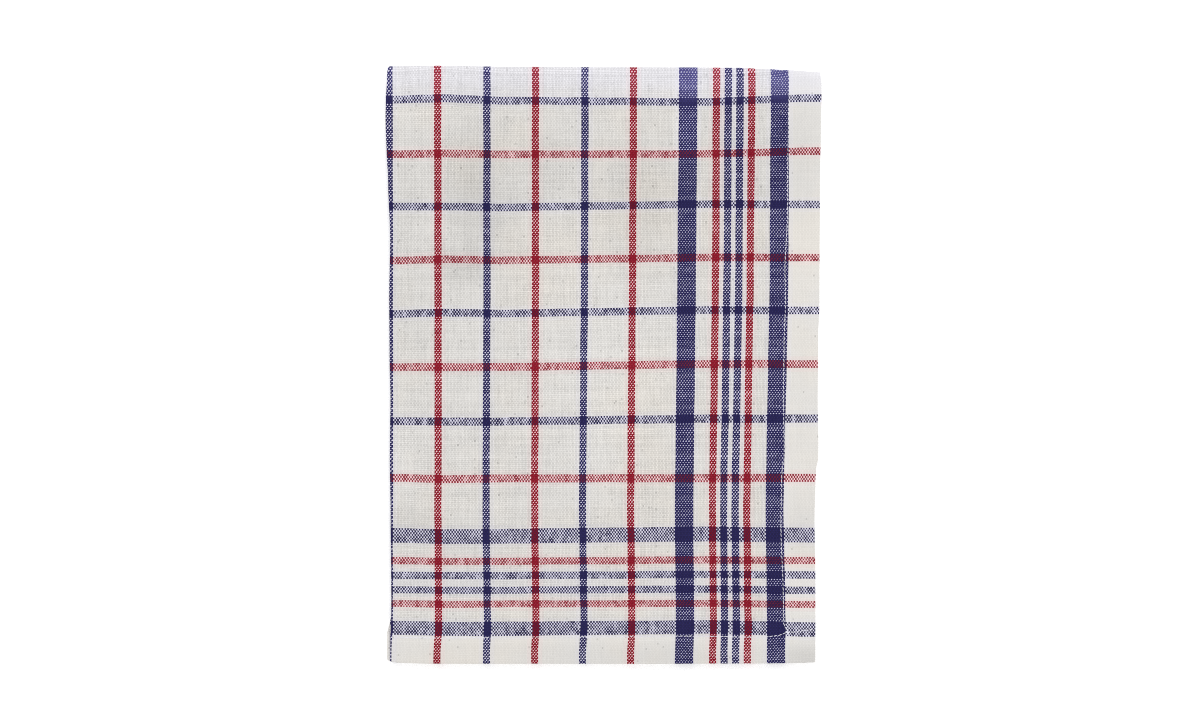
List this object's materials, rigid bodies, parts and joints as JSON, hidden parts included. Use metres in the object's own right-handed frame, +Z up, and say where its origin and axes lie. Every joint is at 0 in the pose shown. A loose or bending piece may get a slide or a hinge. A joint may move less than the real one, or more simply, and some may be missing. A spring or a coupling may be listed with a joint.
{
  "type": "folded tea towel",
  "caption": "Woven cotton tea towel with a check of coloured stripes and stitched hems, folded in quarters and lying flat",
  "frame": {"origin": "the middle of the folded towel's footprint, on the surface that it lies on", "axes": "+Z up from the surface; +Y along the towel's longer side, towards the second fold; +X from the first fold to the side hem"},
  "size_m": [0.253, 0.3486, 0.0112],
  "materials": {
    "cotton_cloth": "off-white plain-weave cotton with yarn-dyed red and indigo stripes both ways, matt"
  },
  "bodies": {
    "root": {"towel": "cotton_cloth"}
  },
  "joints": []
}
